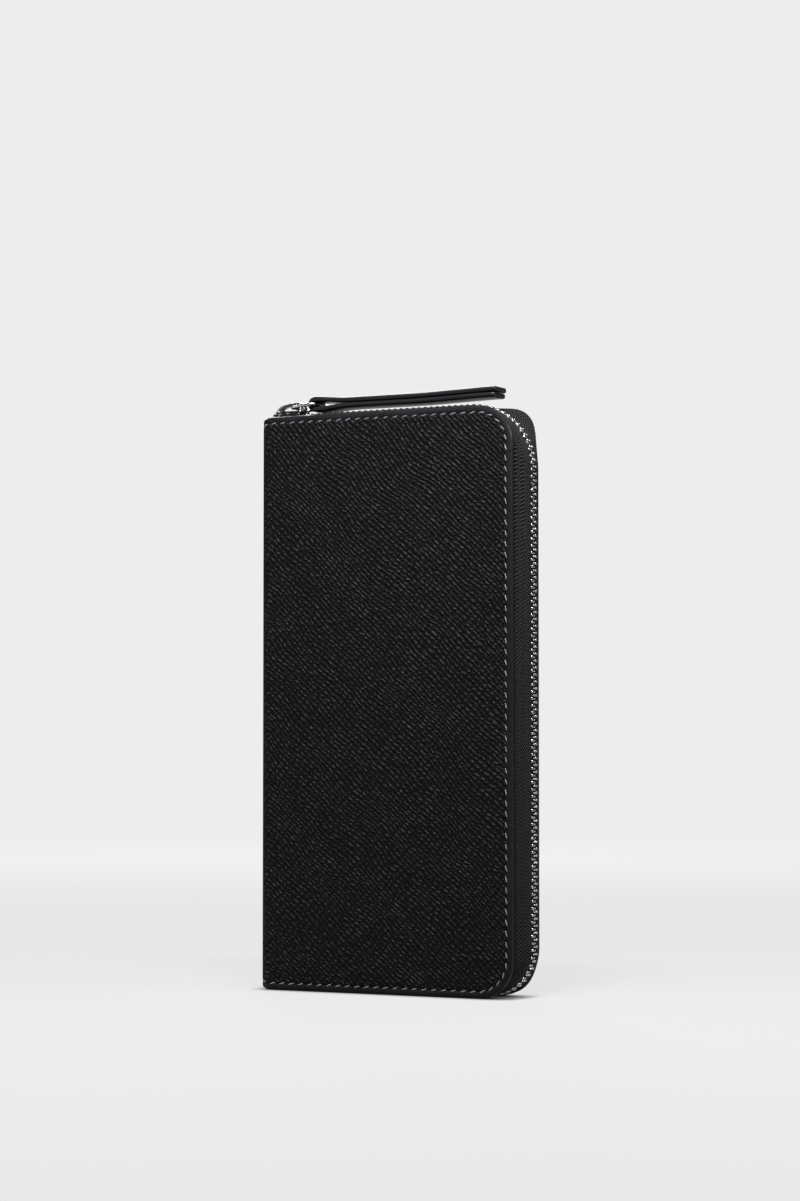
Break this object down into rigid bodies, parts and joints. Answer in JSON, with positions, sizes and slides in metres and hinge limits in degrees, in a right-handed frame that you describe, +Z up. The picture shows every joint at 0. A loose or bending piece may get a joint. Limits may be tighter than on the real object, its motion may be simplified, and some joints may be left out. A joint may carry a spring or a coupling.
{
  "type": "long wallet",
  "caption": "Zip-around long wallet in grained black leather, with a folded pull strap, card slots, note compartments and a zipped coin pocket between its covers.",
  "frame": {"origin": "under the middle of the wallet's bounding box, on the surface that it stands on", "axes": "+X from the spine to the zipped long side, +Y from the front cover to the rear cover, +Z up along the wallet's long dimension"},
  "size_m": [0.0982, 0.0188, 0.1992],
  "materials": {
    "grained_leather": "black pressed-grain calf leather, satin",
    "smooth_leather": "black smooth leather, satin",
    "strap_leather": "black smooth leather with painted edges",
    "lining_cloth": "fine woven lining, matt",
    "stiffener_board": "grey-brown fibre board",
    "zip_tape": "black herringbone twill tape",
    "zip_teeth": "polished nickel teeth",
    "slider_metal": "polished dark nickel",
    "ring_metal": "polished nickel wire",
    "thread": "waxed grey polyester thread"
  },
  "bodies": {
    "spine": {"spine_leather": "grained_leather", "spine_fold_front": "grained_leather", "spine_fold_rear": "grained_leather", "spine_lining": "lining_cloth", "front_gusset_top": "smooth_leather", "front_gusset_bottom": "smooth_leather", "rear_gusset_top": "smooth_leather", "rear_gusset_bottom": "smooth_leather", "zip_top_stops": "zip_teeth", "zip_bottom_stop": "zip_teeth", "coin_pocket_front": "smooth_leather", "coin_pocket_rear": "smooth_leather", "coin_pocket_binding": "smooth_leather", "coin_zip_tape_front": "zip_tape", "coin_zip_tape_rear": "zip_tape", "coin_teeth_front": "zip_teeth", "coin_teeth_rear": "zip_teeth", "coin_zip_stops": "zip_teeth"},
    "front_cover": {"front_leather": "grained_leather", "front_board": "stiffener_board", "front_lining": "lining_cloth", "front_card_base": "smooth_leather", "front_card_slot_1": "smooth_leather", "front_card_slot_2": "smooth_leather", "front_card_slot_3": "smooth_leather", "front_card_slot_4": "smooth_leather", "front_stitching": "thread", "front_zip_tape": "zip_tape", "front_teeth_top": "zip_teeth", "front_teeth_side": "zip_teeth", "front_teeth_bottom": "zip_teeth"},
    "rear_cover": {"rear_leather": "grained_leather", "rear_board": "stiffener_board", "rear_lining": "lining_cloth", "rear_card_base": "smooth_leather", "rear_card_slot_1": "smooth_leather", "rear_card_slot_2": "smooth_leather", "rear_card_slot_3": "smooth_leather", "rear_card_slot_4": "smooth_leather", "rear_stitching": "thread", "rear_zip_tape": "zip_tape", "rear_teeth_top": "zip_teeth", "rear_teeth_side": "zip_teeth", "rear_teeth_bottom": "zip_teeth"},
    "zip_slider": {"zip_slider": "slider_metal"},
    "pull_ring": {"pull_ring": "ring_metal"},
    "pull_strap": {"pull_strap": "strap_leather", "pull_strap_stitching": "thread"},
    "coin_slider": {"coin_slider": "slider_metal"},
    "coin_pull": {"coin_pull_tab": "ring_metal"}
  },
  "joints": [
    {"name": "front_cover_open", "type": "hinge", "parent": "spine", "child": "front_cover", "pos_m": [-0.0456, -0.0059, 0.09625], "axis": [0, 0, -1], "range_deg": [0, 40], "deforming": ["spine_fold_front", "front_gusset_top", "front_gusset_bottom", "front_teeth_top", "front_teeth_bottom"]},
    {"name": "rear_cover_open", "type": "hinge", "parent": "spine", "child": "rear_cover", "pos_m": [-0.0456, 0.0059, 0.09625], "axis": [0, 0, 1], "range_deg": [0, 40], "deforming": ["spine_fold_rear", "rear_gusset_top", "rear_gusset_bottom", "rear_teeth_top", "rear_teeth_bottom"]},
    {"name": "zip_slide", "type": "slide", "parent": "spine", "child": "zip_slider", "axis": [1, 0, 0], "range_m": [0, 0.06], "deforming": ["front_teeth_top", "rear_teeth_top"]},
    {"name": "ring_swing", "type": "hinge", "parent": "zip_slider", "child": "pull_ring", "pos_m": [-0.0391, 0, 0.19575], "axis": [0, -1, 0], "range_deg": [0, 100]},
    {"name": "strap_swing", "type": "hinge", "parent": "pull_ring", "child": "pull_strap", "pos_m": [-0.0309, 0, 0.19665], "axis": [0, -1, 0], "range_deg": [0, 60]},
    {"name": "coin_slide", "type": "slide", "parent": "spine", "child": "coin_slider", "axis": [0, 0, -1], "range_m": [0, 0.14], "deforming": ["coin_teeth_front", "coin_teeth_rear"]},
    {"name": "coin_pull_swing", "type": "hinge", "parent": "coin_slider", "child": "coin_pull", "pos_m": [0.0347, 0, 0.17275], "axis": [0, -1, 0], "range_deg": [0, 35]}
  ]
}
